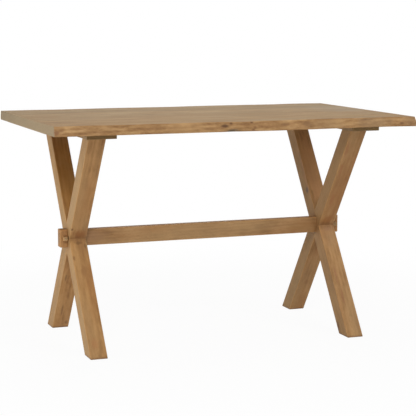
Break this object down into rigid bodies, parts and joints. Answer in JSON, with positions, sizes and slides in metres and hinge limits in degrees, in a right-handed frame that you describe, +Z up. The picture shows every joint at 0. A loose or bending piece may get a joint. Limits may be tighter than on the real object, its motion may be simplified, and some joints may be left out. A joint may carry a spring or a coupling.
{
  "type": "counter height table",
  "caption": "Counter height dining table with an edge-glued live-edge wooden top on crossed X legs, tied by a through stretcher locked with keeper blocks and pegs.",
  "frame": {"origin": "on the floor, under the middle of the table top's overall outline", "axes": "+X along the length of the top, -Y to the front where a person stands, +Z up"},
  "size_m": [1.5, 0.93, 0.92],
  "materials": {
    "top_wood": "matte weathered grey-brown",
    "leg_wood": "matte warm brown",
    "cleat_wood": "matte dark brown",
    "peg_wood": "matte warm brown",
    "dowel_wood": "raw pale wood",
    "fastener_steel": "zinc plated",
    "insert_brass": "turned",
    "glide_plastic": "dark moulded"
  },
  "bodies": {
    "root": {"front_live_edge_plank": "top_wood", "rear_live_edge_plank": "top_wood", "top_plank_1": "top_wood", "top_plank_2": "top_wood", "top_plank_3": "top_wood", "top_plank_4": "top_wood", "top_plank_5": "top_wood", "left_cleat": "cleat_wood", "right_cleat": "cleat_wood", "left_front_leg": "leg_wood", "left_rear_leg": "leg_wood", "right_front_leg": "leg_wood", "right_rear_leg": "leg_wood", "stretcher": "leg_wood", "left_keeper_block": "leg_wood", "right_keeper_block": "leg_wood", "left_peg": "peg_wood", "right_peg": "peg_wood", "top_bolts": "fastener_steel", "top_washers": "fastener_steel", "top_inserts": "insert_brass", "leg_screws": "fastener_steel", "leg_dowels": "dowel_wood", "foot_glides": "glide_plastic"}
  },
  "joints": []
}
